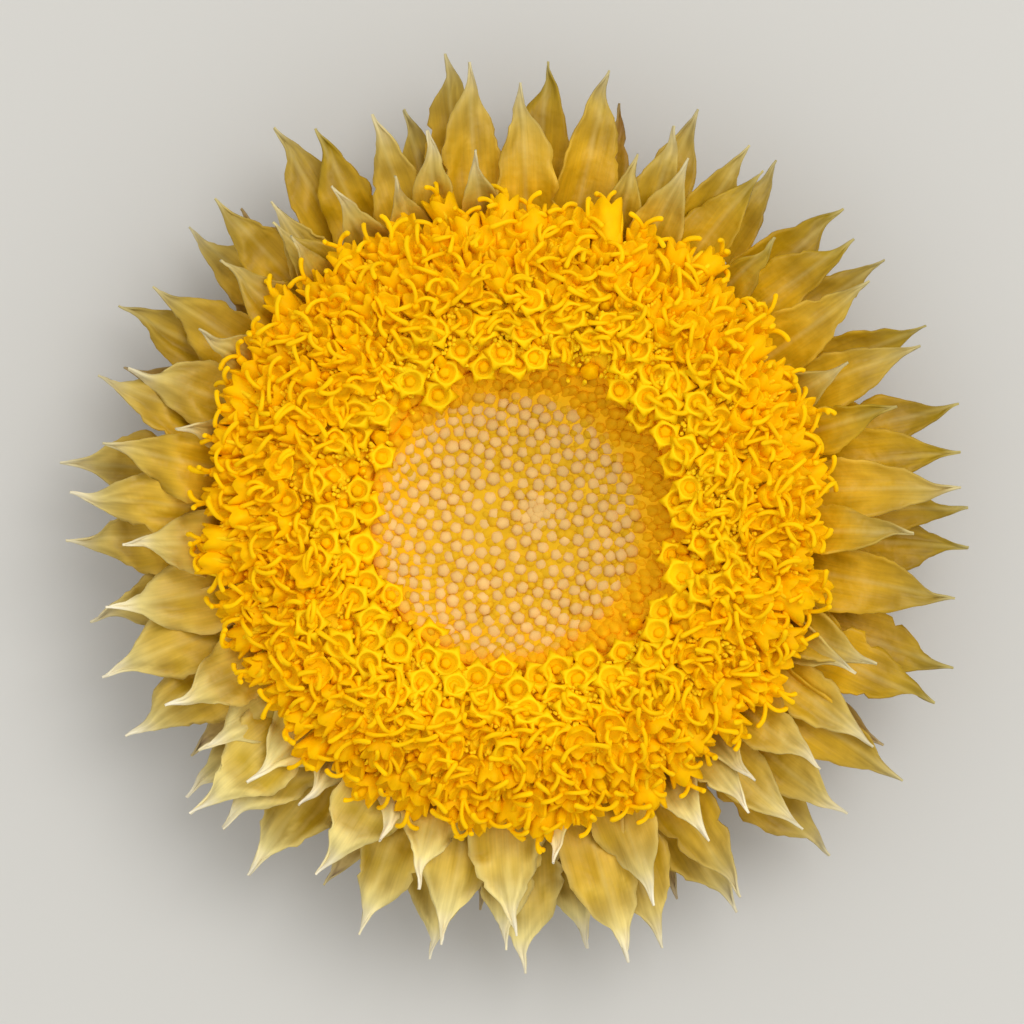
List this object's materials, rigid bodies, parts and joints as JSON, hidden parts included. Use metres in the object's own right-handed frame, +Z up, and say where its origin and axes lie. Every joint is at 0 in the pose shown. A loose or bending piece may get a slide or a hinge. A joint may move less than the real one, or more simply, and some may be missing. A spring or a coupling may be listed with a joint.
{
  "type": "dried everlasting daisy flower head",
  "caption": "Dried yellow everlasting daisy head: a ring of open florets round a sunken field of buds, on papery pointed bracts, lying face up.",
  "frame": {"origin": "on the surface that the head rests on, under the middle of its bounding box", "axes": "+Z up out of the flower's face, +Y towards the top of the picture and +X towards its right"},
  "size_m": [0.04, 0.0404, 0.0115],
  "materials": {
    "stem": "matte",
    "floret_bud": "matte",
    "open_floret": "matte",
    "basal_bract": "satin",
    "outer_bract": "satin",
    "inner_bract": "satin"
  },
  "bodies": {
    "root": {"stem_and_receptacle": "stem", "floret_buds": "floret_bud", "open_florets": "open_floret", "basal_bract_1": "basal_bract", "basal_bract_2": "basal_bract", "basal_bract_3": "basal_bract", "basal_bract_4": "basal_bract", "basal_bract_5": "basal_bract", "basal_bract_6": "basal_bract", "basal_bract_7": "basal_bract", "basal_bract_8": "basal_bract", "basal_bract_9": "basal_bract", "outer_bract_01": "outer_bract", "outer_bract_02": "outer_bract", "outer_bract_03": "outer_bract", "outer_bract_04": "outer_bract", "outer_bract_05": "outer_bract", "outer_bract_06": "outer_bract", "outer_bract_07": "outer_bract", "outer_bract_08": "outer_bract", "outer_bract_09": "outer_bract", "outer_bract_10": "outer_bract", "outer_bract_11": "outer_bract", "outer_bract_12": "outer_bract", "outer_bract_13": "outer_bract", "outer_bract_14": "outer_bract", "outer_bract_15": "outer_bract", "outer_bract_16": "outer_bract", "outer_bract_17": "outer_bract", "outer_bract_18": "outer_bract", "outer_bract_19": "outer_bract", "outer_bract_20": "outer_bract", "outer_bract_21": "outer_bract", "outer_bract_22": "outer_bract", "outer_bract_23": "outer_bract", "outer_bract_24": "outer_bract", "inner_bract_01": "inner_bract", "inner_bract_02": "inner_bract", "inner_bract_03": "inner_bract", "inner_bract_04": "inner_bract", "inner_bract_05": "inner_bract", "inner_bract_06": "inner_bract", "inner_bract_07": "inner_bract", "inner_bract_08": "inner_bract", "inner_bract_09": "inner_bract", "inner_bract_10": "inner_bract", "inner_bract_11": "inner_bract", "inner_bract_12": "inner_bract", "inner_bract_13": "inner_bract", "inner_bract_14": "inner_bract", "inner_bract_15": "inner_bract", "inner_bract_16": "inner_bract", "inner_bract_17": "inner_bract", "inner_bract_18": "inner_bract", "inner_bract_19": "inner_bract", "inner_bract_20": "inner_bract", "inner_bract_21": "inner_bract", "inner_bract_22": "inner_bract", "inner_bract_23": "inner_bract", "inner_bract_24": "inner_bract"}
  },
  "joints": []
}
